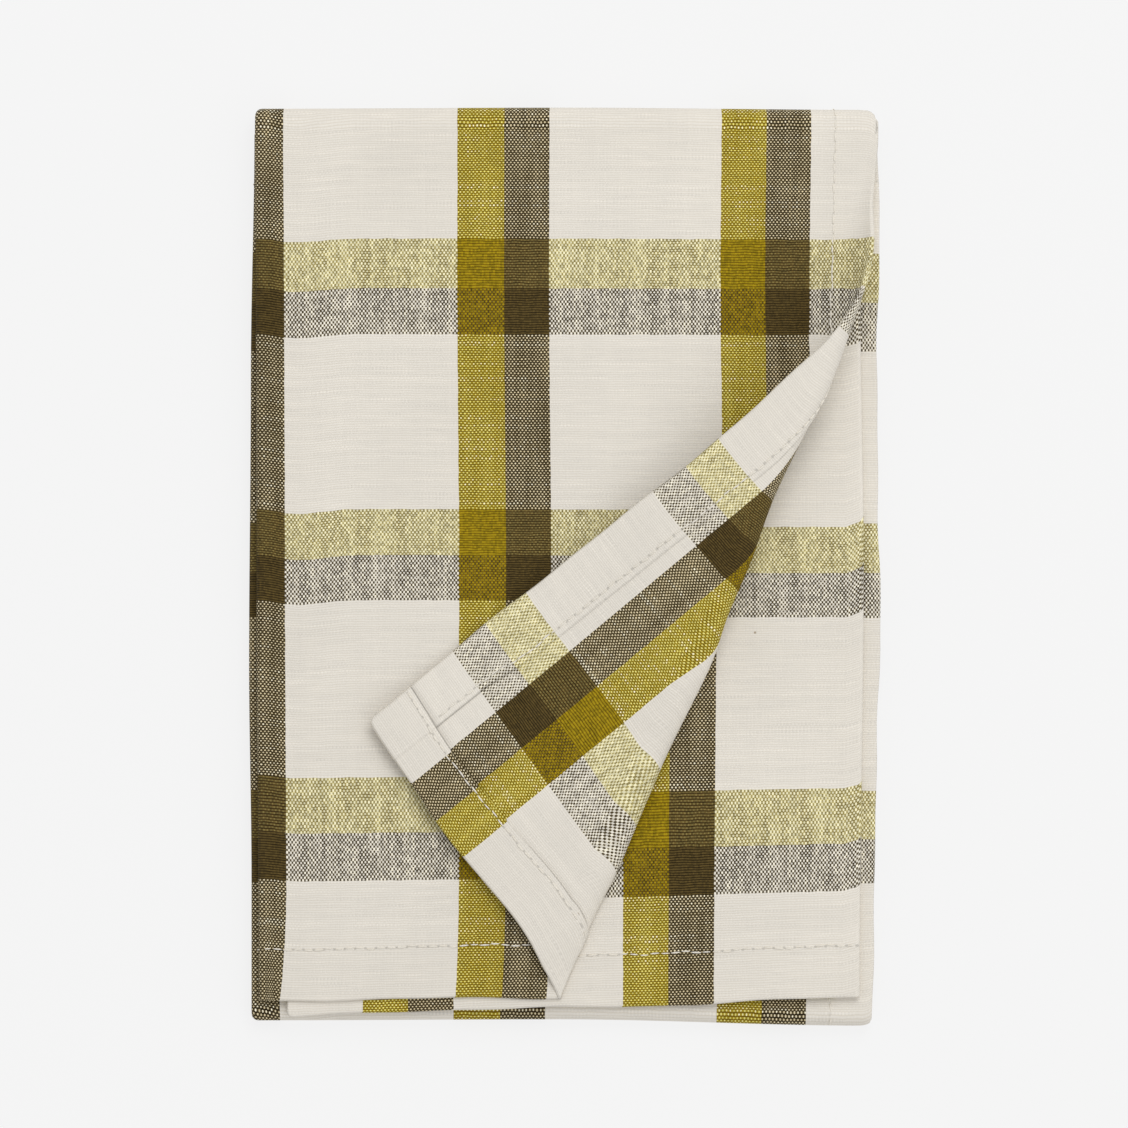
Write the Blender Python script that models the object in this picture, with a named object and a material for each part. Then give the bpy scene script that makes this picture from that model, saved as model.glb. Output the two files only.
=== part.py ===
"""A checked cotton tea towel, folded and lying on its back.

The cloth is one hemmed rectangle. It is folded in three across its width, the strip that this
makes is folded in three along its length, and the near right corner of the top layer is turned
back in a roll that is tight at the open end and widens towards the side edge.
"""

import cmath
import math

import bmesh
import bpy
from mathutils import Vector

# Driving dimensions, in metres: X across the folded towel, Y along it, Z up.
SHEET = 0.0010  # thickness of the cloth
LAYER = 0.0014  # from the middle of one layer to the middle of the next
SIDE_HEM = 0.0134
END_HEM = 0.0148
HEM_EXTRA = 0.0002  # what a turned hem adds, on the wrong side
HEM_STEP = 0.0006  # over which a hem falls back to the plain cloth

# The folds. U runs across the cloth from the outer panel's side edge, and V along it from the
# top third's open end. A run is straight, or it is a half turn.
# name, straight length, radius of the half turn
ACROSS = (
    ("outer panel", 0.1703, None),
    ("left fold", None, LAYER),
    ("base panel", 0.1655, None),
    ("right fold", None, LAYER / 2),
    ("inner panel", 0.1594, None),
)
ALONG = (
    ("top third", 0.2411, None),
    ("far fold", None, 3 * LAYER),
    ("bottom third", 0.2440, None),
    ("near fold", None, 1.5 * LAYER),
    ("middle third", 0.2426, None),
)
SIDE_EDGE_X = 0.0865  # the outer panel's side edge
OPEN_END_Y = -0.1197  # the top third's open end
TOP_LEVEL = 7 * LAYER  # the middle one of the top third's three plies

# How far the folded strip lies off its true place, at its left, its middle and its right.
# name, place along V, left X, right X, left Y, middle Y, right Y
STRAYS = (
    ("open end", 0.000, 0.0008, -0.0008, -0.0008, 0.0003, 0.0014),
    ("top third", 0.120, 0.0002, 0.0004, 0.0000, 0.0000, 0.0000),
    ("roll", 0.200, 0.0000, -0.0006, 0.0000, 0.0000, 0.0000),
    ("far fold", 0.248, -0.0003, 0.0000, -0.0003, 0.0000, -0.0006),
    ("bottom third", 0.380, 0.0002, -0.0006, 0.0000, 0.0000, 0.0000),
    ("near fold", 0.502, -0.0014, -0.0014, -0.0002, 0.0001, -0.0017),
    ("near part", 0.540, -0.0014, -0.0006, 0.0000, 0.0000, 0.0000),
    ("middle third", 0.600, -0.0021, 0.0008, 0.0000, 0.0000, 0.0000),
    ("far part", 0.680, -0.0016, 0.0003, 0.0000, 0.0000, 0.0000),
    ("inner end", 0.748, -0.0006, 0.0006, 0.0000, -0.0002, -0.0004),
)

# The inner panel has slipped out below the open end, more at its edge than at its fold.
# name, place along U, slip
SLIPS = (
    ("left fold", 0.173, 0.0000),
    ("right fold", 0.341, 0.0015),
    ("inner edge", 0.502, 0.0043),
)
SLIP_REACH = 0.110

# The side edge rounds off where it goes over the far fold and the near fold.
# fold, how far its corner is pulled towards Y
ROUNDS = (
    ("far fold", -0.0026),
    ("near fold", 0.0012),
)
ROUND_REACH = 0.0033
ROUND_SPREAD = 0.0130

# The stack is lower where it was pressed, and a little uneven all over.
# name, share of the height, centre X, centre Y, spread in X, spread in Y
DIPS = (
    ("far fold", 0.060, 0.000, 0.128, 0.300, 0.022),
    ("left fold", 0.030, -0.086, 0.000, 0.016, 0.300),
    ("right side", 0.045, 0.088, 0.060, 0.022, 0.120),
    ("open end", 0.025, -0.030, -0.120, 0.060, 0.030),
    ("hollow", 0.020, -0.020, 0.070, 0.050, 0.045),
)

# The turned corner. The cloth leaves the stack along the line from foot to head, rolls over and
# lands as a flap. The flap's two edges lie at more than a square angle, as the bias gives.
ROLL_FOOT = Vector((-0.0014, -0.1197))
ROLL_HEAD = Vector((0.0838, 0.1112))
FOOT_RADIUS = 0.0016
HEAD_RADIUS = 0.0105
FLAP_TIP = Vector((-0.0539, -0.0428))
FLAP_END_EDGE = math.radians(-55.8)  # the way that the open end runs from the tip
FLAP_SIDE_EDGE = math.radians(38.7)  # the way that the side edge runs from it
FLAP_CURL_START = 0.126  # where the side edge starts to bend away, from the tip
FLAP_CURL = 1.9  # how fast it bends, per metre
FLAP_FALL = 0.066  # over which the flap comes down on the stack
FLAP_LIFT = 0.0032  # how far its open end stays up
FLAP_LIFT_REACH = 0.036
FLAP_BOW = 0.0031  # how far its open end bows in, near the roll's foot
FLAP_BOW_PLACE = 0.0715  # from the tip
FLAP_BOW_SPREAD = 0.0125
FLAP_BOW_REACH = 0.045

# How far the roll stands out past its line. It is uneven, as a soft roll is.
# name, place along the line, reach
REACHES = (
    ("foot", 0.000, 0.0005),
    ("pinch", 0.005, 0.0007),
    ("rise", 0.018, 0.0026),
    ("low", 0.040, 0.0050),
    ("dent", 0.066, 0.0053),
    ("swell", 0.098, 0.0069),
    ("notch", 0.113, 0.0058),
    ("belly", 0.124, 0.0058),
    ("waist", 0.145, 0.0044),
    ("shoulder", 0.185, 0.0072),
    ("head", 0.246, 0.0080),
)

# How finely the cloth is divided.
FLAT_CELL = 0.027
TURN_STEPS = {LAYER / 2: 4, LAYER: 6, 1.5 * LAYER: 6, 3 * LAYER: 8}
ROLL_STEPS = 7
FALL_STEPS = 5
NEARBY = 0.0001  # the step over which the cloth's slope is measured

COLOUR = (0.74, 0.69, 0.60, 1.0)  # unbleached cotton
ROUGHNESS = 0.92


def run_length(run):
    _, straight, radius = run
    return straight if radius is None else math.pi * radius


WIDTH = sum(run_length(run) for run in ACROSS)
LENGTH = sum(run_length(run) for run in ALONG)
ROLL_AXIS = (ROLL_HEAD - ROLL_FOOT).normalized()
ROLL_OUT = Vector((ROLL_AXIS.y, -ROLL_AXIS.x))
ROLL_LENGTH = (ROLL_HEAD - ROLL_FOOT).length


def ease(share):
    """From 0 to 1, level at both ends."""
    share = min(max(share, 0.0), 1.0)
    return share * share * (3 - 2 * share)


def mix(first, second, share):
    return first + (second - first) * share


def direction(angle):
    return Vector((math.cos(angle), math.sin(angle)))


def walk(runs, distance, point, ahead, hand):
    """Goes this far along the runs, whose turns are to the left for hand 1, to the right for -1.

    The point and the way ahead are complex numbers in the plane of the section.
    """
    for _, straight, radius in runs:
        if radius is None:
            step = min(distance, straight)
            point += step * ahead
        else:
            step = min(distance, math.pi * radius)
            spoke = 1j * hand * radius * ahead
            turn = cmath.exp(1j * hand * step / radius)
            point += spoke - spoke * turn
            ahead *= turn
        distance -= step
        if distance <= 0:
            break
    return point, ahead


def fold(u, v):
    """Where the middle of the cloth lies in the folded stack, before it strays."""
    across, _ = walk(ACROSS, u, complex(SIDE_EDGE_X, LAYER), -1, 1)
    along, ahead = walk(ALONG, v, complex(OPEN_END_Y, TOP_LEVEL), 1, -1)
    along += 1j * ahead * across.imag
    return across.real, along.real, along.imag


def row_around(table, place):
    """The two rows that this place lies between, and how far from the first to the second."""
    before, after = next((pair for pair in zip(table, table[1:]) if place <= pair[1][1]), table[-2:])
    return before, after, (place - before[1]) / (after[1] - before[1])


def stray(u, v, x):
    """How far the cloth lies off its true place."""
    before, after, share = row_around(STRAYS, v)
    left_x, right_x, left_y, middle_y, right_y = (
        mix(a, b, ease(share)) for a, b in zip(before[2:], after[2:])
    )
    side = (x + SIDE_EDGE_X) / (2 * SIDE_EDGE_X)
    off_y = mix(mix(left_y, middle_y, ease(2 * side)), right_y, ease(2 * side - 1))
    off = Vector((mix(left_x, right_x, side), off_y))
    if u > SLIPS[0][1]:
        before, after, share = row_around(SLIPS, u)
        off.y -= mix(before[2], after[2], share) * (1 - ease(v / SLIP_REACH))
    if u < ROUND_REACH:
        corner = 1 - math.sqrt(1 - (1 - u / ROUND_REACH) ** 2)
        for name, pull in ROUNDS:
            off.y += pull * corner * bell((v - middle_of(name)) / ROUND_SPREAD)
    return off


def middle_of(name):
    """How far along the cloth the middle of a fold is."""
    names = [run[0] for run in ALONG]
    index = names.index(name)
    return sum(run_length(run) for run in ALONG[:index]) + run_length(ALONG[index]) / 2


def bell(distance):
    return math.exp(-distance * distance / 2)


def settled(x, y):
    """The share of its full height that the stack keeps here."""
    return 1 - sum(
        share * bell(math.hypot((x - centre_x) / spread_x, (y - centre_y) / spread_y))
        for _, share, centre_x, centre_y, spread_x, spread_y in DIPS
    )


def on_flap(place):
    """Where a place of the flat top layer lands once the corner is turned back."""
    from_side_edge = SIDE_EDGE_X - place.x
    from_open_end = place.y - OPEN_END_Y
    curl = FLAP_CURL * max(from_open_end - FLAP_CURL_START, 0.0) ** 2
    bow = FLAP_BOW * bell((from_side_edge - FLAP_BOW_PLACE) / FLAP_BOW_SPREAD)
    bow *= 1 - ease(from_open_end / FLAP_BOW_REACH)
    return (
        FLAP_TIP
        + from_side_edge * direction(FLAP_END_EDGE)
        + (from_open_end + bow) * direction(FLAP_SIDE_EDGE)
        + curl * direction(FLAP_SIDE_EDGE + math.pi / 2)
    )


def reach(along):
    """How far the roll stands out here."""
    before, after, share = row_around(REACHES, along)
    return mix(before[2], after[2], ease(share))


def turn_back(place):
    """The place, its height over the top layer, and its share of the way through the roll."""
    beyond = (place - ROLL_FOOT).dot(ROLL_OUT)
    if beyond <= 0:
        return place, 0.0, 0.0
    along = (place - ROLL_FOOT).dot(ROLL_AXIS)
    radius = mix(FOOT_RADIUS, HEAD_RADIUS, along / ROLL_LENGTH)
    angle = beyond / radius
    if angle < math.pi:
        start = ROLL_FOOT + along * ROLL_AXIS
        landing = on_flap(start + math.pi * radius * ROLL_OUT)
        share = ease(angle / math.pi)
        spot = mix(start, landing, share) + reach(along) * math.sin(angle) * ROLL_OUT
        return spot, radius * (1 - math.cos(angle)), share
    fallen = ease((beyond - math.pi * radius) / FLAP_FALL)
    edge = 1 - ease((place.y - OPEN_END_Y) / FLAP_LIFT_REACH)
    return on_flap(place), mix(2 * radius, LAYER + FLAP_LIFT * edge, fallen), 1.0


def lay(u, v):
    """Where the middle of the cloth lies, for a point of the flat cloth."""
    x, y, level = fold(u, v)
    off = stray(u, v, x)
    place, lift, turned = Vector((x, y)), 0.0, 0.0
    if u < run_length(ACROSS[0]) and v < run_length(ALONG[0]):
        place, lift, turned = turn_back(place)
    place = place + off * (1 - turned)
    return Vector((*place, SHEET / 2 + level * settled(*place) + lift))


def hem_thickness(u, v):
    """What a hem adds here."""
    side = min(u, WIDTH - u) - SIDE_HEM
    end = min(v, LENGTH - v) - END_HEM
    return HEM_EXTRA if min(side, end) < HEM_STEP / 2 else 0.0


def surface(u, v, right_side):
    """A point of the cloth's right side or of its wrong side."""
    low_u, high_u = max(u - NEARBY, 0.0), min(u + NEARBY, WIDTH)
    low_v, high_v = max(v - NEARBY, 0.0), min(v + NEARBY, LENGTH)
    across = lay(high_u, v) - lay(low_u, v)
    along = lay(u, high_v) - lay(u, low_v)
    outward = along.cross(across).normalized()
    if right_side:
        return lay(u, v) + outward * SHEET / 2
    return lay(u, v) - outward * (SHEET / 2 + hem_thickness(u, v))


def fold_lines(runs, hem):
    """Where to divide the cloth: evenly in each run, and on both sides of a hem's inner edge."""
    total = sum(run_length(run) for run in runs)
    lines = [hem, hem + HEM_STEP, total - hem - HEM_STEP, total - hem]
    start = 0.0
    for run in runs:
        length = run_length(run)
        steps = math.ceil(length / FLAT_CELL) if run[2] is None else TURN_STEPS[run[2]]
        lines += [start + length * step / steps for step in range(steps)]
        start += length
    return [line for line in sorted(lines) if 0 < line < total]


def roll_lines():
    """The corner's rulings, each as two points of the flat cloth."""
    rulings = [(math.pi * step / ROLL_STEPS, 0.0) for step in range(ROLL_STEPS + 1)]
    rulings += [(math.pi, FLAP_FALL * (step + 1) / FALL_STEPS) for step in range(FALL_STEPS)]
    for angle, further in rulings:
        foot = ROLL_FOOT + (angle * FOOT_RADIUS + further) * ROLL_OUT
        head = ROLL_HEAD + (angle * HEAD_RADIUS + further) * ROLL_OUT
        yield [Vector((SIDE_EDGE_X - end.x, end.y - OPEN_END_Y)) for end in (foot, head)]


def divide(bm, point, along):
    """Divides the flat cloth along a straight line."""
    bmesh.ops.bisect_plane(
        bm,
        geom=bm.verts[:] + bm.edges[:] + bm.faces[:],
        dist=1e-7,
        plane_co=(point.x, point.y, 0),
        plane_no=(along.y, -along.x, 0),
    )


def flat_cloth():
    """The cloth as a flat slab: X is U, Y is V, and Z is 0 on the wrong side and 1 on the right."""
    bm = bmesh.new()
    corners = ((0, 0), (WIDTH, 0), (WIDTH, LENGTH), (0, LENGTH))
    bm.faces.new([bm.verts.new((u, v, 0)) for u, v in corners])
    for u in (ROUND_REACH / 6, ROUND_REACH / 2, ROUND_REACH, *fold_lines(ACROSS, SIDE_HEM)):
        divide(bm, Vector((u, 0)), Vector((0, 1)))
    for v in fold_lines(ALONG, END_HEM):
        divide(bm, Vector((0, v)), Vector((1, 0)))
    for foot, head in roll_lines():
        divide(bm, foot, head - foot)
    bmesh.ops.triangulate(bm, faces=bm.faces[:])
    risen = bmesh.ops.extrude_face_region(bm, geom=bm.faces[:], use_keep_orig=True)["geom"]
    bmesh.ops.translate(
        bm, verts=[item for item in risen if isinstance(item, bmesh.types.BMVert)], vec=(0, 0, 1)
    )
    bmesh.ops.recalc_face_normals(bm, faces=bm.faces[:])
    bmesh.ops.triangulate(bm, faces=bm.faces[:])
    return bm


def cotton():
    material = bpy.data.materials.new("woven cotton")
    material.use_nodes = True
    shader = material.node_tree.nodes["Principled BSDF"]
    shader.inputs["Base Color"].default_value = COLOUR
    shader.inputs["Roughness"].default_value = ROUGHNESS
    shader.inputs["Metallic"].default_value = 0.0
    return material


def towel():
    """The slab folded up. Its U and V turn left where the folded cloth turns right, so its faces
    are turned round."""
    bm = flat_cloth()
    for vert in bm.verts:
        vert.co = surface(vert.co.x, vert.co.y, vert.co.z > 0.5)
    bmesh.ops.reverse_faces(bm, faces=bm.faces[:])
    mesh = bpy.data.meshes.new("towel_cloth")
    bm.to_mesh(mesh)
    bm.free()
    mesh.shade_smooth()
    mesh.set_sharp_from_angle(angle=math.radians(50))
    mesh.materials.append(cotton())
    cloth = bpy.data.objects.new("towel_cloth", mesh)
    bpy.context.scene.collection.objects.link(cloth)
    return cloth


for leftover in list(bpy.data.objects):
    bpy.data.objects.remove(leftover)
towel()
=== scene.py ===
# %% [markdown]
# # A folded tea towel in a woven check
#
# The real thing is one piece of plain-woven cotton, hemmed on all four sides, folded in three
# across and in three along, with one corner of its top layer turned back. This notebook dresses
# the solid that the frame holds: it lays a thin sheet of cloth on the same folds, sews its hems
# and weaves its check in the shader. It starts with the frame, which places every piece.

import math

import bmesh
import bpy
import numpy as np
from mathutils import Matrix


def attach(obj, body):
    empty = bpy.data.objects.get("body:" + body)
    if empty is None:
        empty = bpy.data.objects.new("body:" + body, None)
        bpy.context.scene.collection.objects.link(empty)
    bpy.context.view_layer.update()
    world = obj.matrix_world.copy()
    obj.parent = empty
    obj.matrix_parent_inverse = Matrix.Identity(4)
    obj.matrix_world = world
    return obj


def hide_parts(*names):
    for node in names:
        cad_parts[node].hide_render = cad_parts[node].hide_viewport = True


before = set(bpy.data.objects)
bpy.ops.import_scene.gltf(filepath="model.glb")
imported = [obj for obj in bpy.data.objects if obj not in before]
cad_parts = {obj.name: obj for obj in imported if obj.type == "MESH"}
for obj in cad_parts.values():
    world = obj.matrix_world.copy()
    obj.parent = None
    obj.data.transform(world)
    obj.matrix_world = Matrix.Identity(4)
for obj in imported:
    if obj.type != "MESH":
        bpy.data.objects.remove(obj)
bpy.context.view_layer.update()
print("nodes in the frame:", sorted(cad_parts))

# %% [markdown]
# ## Camera
#
# The towel is seen from straight above. A long lens far away keeps the lower layers in line with
# the upper ones, as in the photograph. Its distance follows from how wide a strip of the scene
# the picture shows at the height of the top layer.

# %% Place the camera
PICTURE_WIDTH = 0.31282  # metres across the picture, at the height of the top layer
PICTURE_CENTRE = (-0.00005, 0.00042)
TOP_LAYER_HEIGHT = 0.0118
LENS_MM = 200.0
SENSOR_MM = 36.0


def add_object(name, data):
    thing = bpy.data.objects.new(name, data)
    bpy.context.scene.collection.objects.link(thing)
    return thing


camera = add_object("camera", bpy.data.cameras.new("camera"))
camera.data.lens = LENS_MM
camera.data.sensor_width = SENSOR_MM
camera.data.clip_end = 20.0
distance = PICTURE_WIDTH * LENS_MM / SENSOR_MM
camera.location = (*PICTURE_CENTRE, TOP_LAYER_HEIGHT + distance)
bpy.context.scene.camera = camera
print(f"camera {camera.location.z:.2f} m over the floor")

# %% [markdown]
# ## Floor and light
#
# The light in the photograph is soft and a little stronger from the far right. A pale dome gives
# the even part and the soft shade beside the turned corner. A big soft box over the far right
# side and a weaker one on the near right give the rest. The ground is as pale beside the towel
# as anywhere, like a lit table, so the floor glows by itself. The plain view transform keeps the
# colours as they are mixed.

# %% Lay the floor and hang the lights
DOME_STRENGTH = 0.62
FAR_BOX = dict(place=(0.28, 0.90, 1.45), size=1.0, watts=12.0)
NEAR_BOX = dict(place=(0.9, -0.7, 1.1), size=0.9, watts=2.6)
FLOOR_HALF = 2.5
FLOOR_FINISH = {
    "Base Color": (0.10, 0.10, 0.10, 1),
    "Emission Color": (1, 1, 1, 1),
    "Emission Strength": 0.815,
    "Roughness": 1.0,
    "Specular IOR Level": 0.0,
}


def soft_box(name, place, size, watts):
    light = bpy.data.lights.new(name, "AREA")
    light.shape, light.size, light.energy = "SQUARE", size, watts
    box = add_object(name, light)
    box.location = place
    box.rotation_euler = (-box.location).to_track_quat("-Z", "Y").to_euler()


def new_material(name):
    material = bpy.data.materials.new(name)
    material.use_nodes = True
    return material, material.node_tree, material.node_tree.nodes["Principled BSDF"]


def studio_floor():
    corners = [(x * FLOOR_HALF, y * FLOOR_HALF, 0) for x, y in ((-1, -1), (1, -1), (1, 1), (-1, 1))]
    mesh = bpy.data.meshes.new("studio_floor")
    mesh.from_pydata(corners, [], [(0, 1, 2, 3)])
    material, _, shader = new_material("pale floor")
    for name, value in FLOOR_FINISH.items():
        shader.inputs[name].default_value = value
    mesh.materials.append(material)
    add_object("studio_floor", mesh)


world = bpy.data.worlds.new("pale dome")
world.use_nodes = True
dome = world.node_tree.nodes["Background"].inputs
dome["Color"].default_value = (1, 1, 1, 1)
dome["Strength"].default_value = DOME_STRENGTH
bpy.context.scene.world = world
bpy.context.scene.view_settings.view_transform = "Standard"
soft_box("far soft box", **FAR_BOX)
soft_box("near soft box", **NEAR_BOX)
studio_floor()

# %% [markdown]
# ## How the cloth is folded
#
# A folded cloth can be modelled layer by layer, draped by simulation, or folded by a rule. The
# rule is best here: the layers never cut through each other, the hems and the check run on round
# each fold, and the sizes stay those of the solid.
#
# U runs across the cloth from the outer panel's side edge. V runs along it from the top layer's
# open end. Each way is a list of runs, and a run is straight or a half turn. A walk along the
# runs gives the place, with complex numbers for the two directions of its section.

# %% The sizes of the folds
LAYER = 0.0014  # from the middle of one layer to the middle of the next
CLOTH = 0.00085  # thickness of the cloth

ACROSS = (  # name, straight length, radius of the half turn, size of the mesh's cells
    ("outer panel", 0.1703, None, 0.0025),
    ("left fold", None, LAYER, 0.0005),
    ("base panel", 0.1655, None, 0.0080),
    ("right fold", None, LAYER / 2, 0.0003),
    ("inner panel", 0.1594, None, 0.0038),
)
ALONG = (
    ("top third", 0.2411, None, 0.0025),
    ("far fold", None, 3 * LAYER, 0.0012),
    ("bottom third", 0.2440, None, 0.0090),
    ("near fold", None, 1.5 * LAYER, 0.0008),
    ("middle third", 0.2426, None, 0.0050),
)
SIDE_EDGE_X = 0.0865
OPEN_END_Y = -0.1197
TOP_LEVEL = 7 * LAYER


def run_length(run):
    _, straight, radius, _ = run
    return straight if radius is None else math.pi * radius


def middle_of(runs, name):
    """How far along the cloth the middle of a run is."""
    index = [run[0] for run in runs].index(name)
    return sum(run_length(run) for run in runs[:index]) + run_length(runs[index]) / 2


def in_top_layer(u, v):
    """Whether a place lies in the outer panel and in the top third."""
    return (u < run_length(ACROSS[0])) & (v < run_length(ALONG[0]))


WIDTH = sum(run_length(run) for run in ACROSS)
LENGTH = sum(run_length(run) for run in ALONG)
print(f"the flat cloth is {WIDTH * 1000:.0f} x {LENGTH * 1000:.0f} mm")


# %% Walk along the folds
def walk(runs, distance, point, ahead, hand):
    """Goes this far along the runs. Their turns are to the left for hand 1, to the right for -1.

    The first and the last run go on past their ends, for an edge that wanders.
    """
    for run in runs:
        lowest = -1.0 if run is runs[0] else 0.0
        highest = 1.0 if run is runs[-1] else run_length(run)
        step = np.clip(distance, lowest, highest)
        radius = run[2]
        if radius is None:
            point = point + step * ahead
        else:
            spoke = 1j * hand * radius * ahead
            turn = np.exp(1j * hand * step / radius)
            point = point + spoke - spoke * turn
            ahead = ahead * turn
        distance = distance - run_length(run)
    return point, ahead


def fold(u, v):
    """Where the middle of the cloth lies in the folded stack: X, Y and level."""
    across, _ = walk(ACROSS, u, complex(SIDE_EDGE_X, LAYER), -1, 1)
    along, ahead = walk(ALONG, v, complex(OPEN_END_Y, TOP_LEVEL), 1, -1)
    along = along + 1j * ahead * across.imag
    return across.real, along.real, along.imag


levels = {
    f"{third}, {panel}": fold(middle_of(ACROSS, panel), middle_of(ALONG, third))[2]
    for third, length, *_ in ALONG
    for panel, width, *_ in ACROSS
    if length and width
}
print("layers from the top:", sorted(levels, key=levels.get, reverse=True))

# %% [markdown]
# ## How the fold strays from the rule
#
# A hand-folded cloth is never square. Short tables say how far each part lies off its true
# place, how the inner panel has slipped out, and where the stack is pressed flatter. They are
# read with an eased step from row to row, so that no crease appears where two rows meet.

# %% Tables of what is uneven
STRAYS = (  # name, place along V, left X, right X, left Y, middle Y, right Y
    ("open end", 0.000, 0.0008, -0.0008, -0.0008, 0.0003, 0.0014),
    ("top third", 0.120, 0.0002, 0.0004, 0.0000, 0.0000, 0.0000),
    ("roll", 0.200, 0.0000, -0.0006, 0.0000, 0.0000, 0.0000),
    ("far fold", 0.248, -0.0003, 0.0000, -0.0003, 0.0000, -0.0006),
    ("bottom third", 0.380, 0.0002, -0.0006, 0.0000, 0.0000, 0.0000),
    ("near fold", 0.502, -0.0014, -0.0014, -0.0002, 0.0001, -0.0017),
    ("near part", 0.540, -0.0014, -0.0006, 0.0000, 0.0000, 0.0000),
    ("middle third", 0.600, -0.0021, 0.0008, 0.0000, 0.0000, 0.0000),
    ("far part", 0.680, -0.0016, 0.0003, 0.0000, 0.0000, 0.0000),
    ("inner end", 0.748, -0.0006, 0.0006, 0.0000, -0.0002, -0.0004),
)
SLIPS = (  # name, place along U, slip
    ("left fold", 0.173, 0.0000),
    ("right fold", 0.341, 0.0015),
    ("inner edge", 0.502, 0.0043),
)
SLIP_REACH = 0.110
ROUNDS = (  # fold, how far the side edge's corner is pulled towards Y
    ("far fold", -0.0026),
    ("near fold", 0.0012),
)
ROUND_REACH = 0.0033
ROUND_SPREAD = 0.0130
DIPS = (  # name, share of the height, centre X, centre Y, spread in X, spread in Y
    ("far fold", 0.060, 0.000, 0.128, 0.300, 0.022),
    ("left fold", 0.030, -0.086, 0.000, 0.016, 0.300),
    ("right side", 0.045, 0.088, 0.060, 0.022, 0.120),
    ("open end", 0.025, -0.030, -0.120, 0.060, 0.030),
    ("hollow", 0.020, -0.020, 0.070, 0.050, 0.045),
)


def ease(share):
    """From 0 to 1, level at both ends."""
    share = np.clip(share, 0.0, 1.0)
    return share * share * (3 - 2 * share)


def mix(first, second, share):
    return first + (second - first) * share


def bell(distance):
    return np.exp(-distance * distance / 2)


def read(table, column, place, soften=ease):
    """A column of a table at these places, from the row before to the row after."""
    rows = np.array([row[1] for row in table])
    values = np.array([row[column] for row in table])
    before = np.clip(np.searchsorted(rows, place) - 1, 0, len(rows) - 2)
    share = (place - rows[before]) / (rows[before + 1] - rows[before])
    return mix(values[before], values[before + 1], soften(share))


def stray(u, v, x):
    """How far the cloth lies off its true place, in X and in Y."""
    side = (x + SIDE_EDGE_X) / (2 * SIDE_EDGE_X)
    off_x = mix(read(STRAYS, 2, v), read(STRAYS, 3, v), side)
    off_y = mix(read(STRAYS, 4, v), read(STRAYS, 5, v), ease(2 * side))
    off_y = mix(off_y, read(STRAYS, 6, v), ease(2 * side - 1))
    slip = read(SLIPS, 2, np.maximum(u, SLIPS[0][1]), soften=lambda share: share)
    off_y = off_y - slip * (1 - ease(v / SLIP_REACH))
    corner = 1 - np.sqrt(1 - np.clip(1 - u / ROUND_REACH, 0, 1) ** 2)
    for name, pull in ROUNDS:
        off_y = off_y + pull * corner * bell((v - middle_of(ALONG, name)) / ROUND_SPREAD)
    return off_x, off_y


def settled(x, y):
    """The share of its full height that the stack keeps here."""
    lost = 0
    for _, share, centre_x, centre_y, spread_x, spread_y in DIPS:
        lost = lost + share * bell(np.hypot((x - centre_x) / spread_x, (y - centre_y) / spread_y))
    return 1 - lost


print(len(STRAYS), "rows of strays and", len(DIPS), "dips")

# %% [markdown]
# ## Creases
#
# Pressed folds leave soft lines in the top layer, and the cloth lifts a little between them.
# Each row is one soft trough or ridge. A layer's share of it grows with its level, so the layers
# stay apart and the lowest one stays flat on the floor.

# %% Creases of the top layers
CREASES = (  # name, centre X, centre Y, angle in degrees, half length, half width, height
    ("far left lift", -0.070, 0.105, 80, 0.030, 0.009, 0.0006),
    ("left trough", -0.058, 0.020, 88, 0.070, 0.008, -0.0005),
    ("far trough", 0.010, 0.112, 4, 0.060, 0.006, -0.0004),
    ("middle swell", 0.020, 0.070, 85, 0.040, 0.014, 0.0005),
    ("right trough", 0.047, 0.085, 96, 0.035, 0.007, -0.0004),
    ("near left swell", -0.050, -0.075, 10, 0.035, 0.012, 0.0005),
    ("near right swell", 0.060, -0.070, 95, 0.040, 0.012, 0.0004),
)


def crease_height(x, y):
    height = 0
    for _, centre_x, centre_y, angle, half_length, half_width, rise in CREASES:
        turn = np.exp(-1j * math.radians(angle))
        place = ((x - centre_x) + 1j * (y - centre_y)) * turn
        height = height + rise * bell(place.real / half_length) * bell(place.imag / half_width)
    return height


print(len(CREASES), "soft creases")

# %% [markdown]
# ## The turned corner
#
# The near right corner leaves the stack along a line, rolls over and lands as a flap with its
# wrong side up. The roll is tight at its foot and about two centimetres high at its head, so
# its radius grows along the line. From the line to the landing the cloth rises over a half
# circle.

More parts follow.
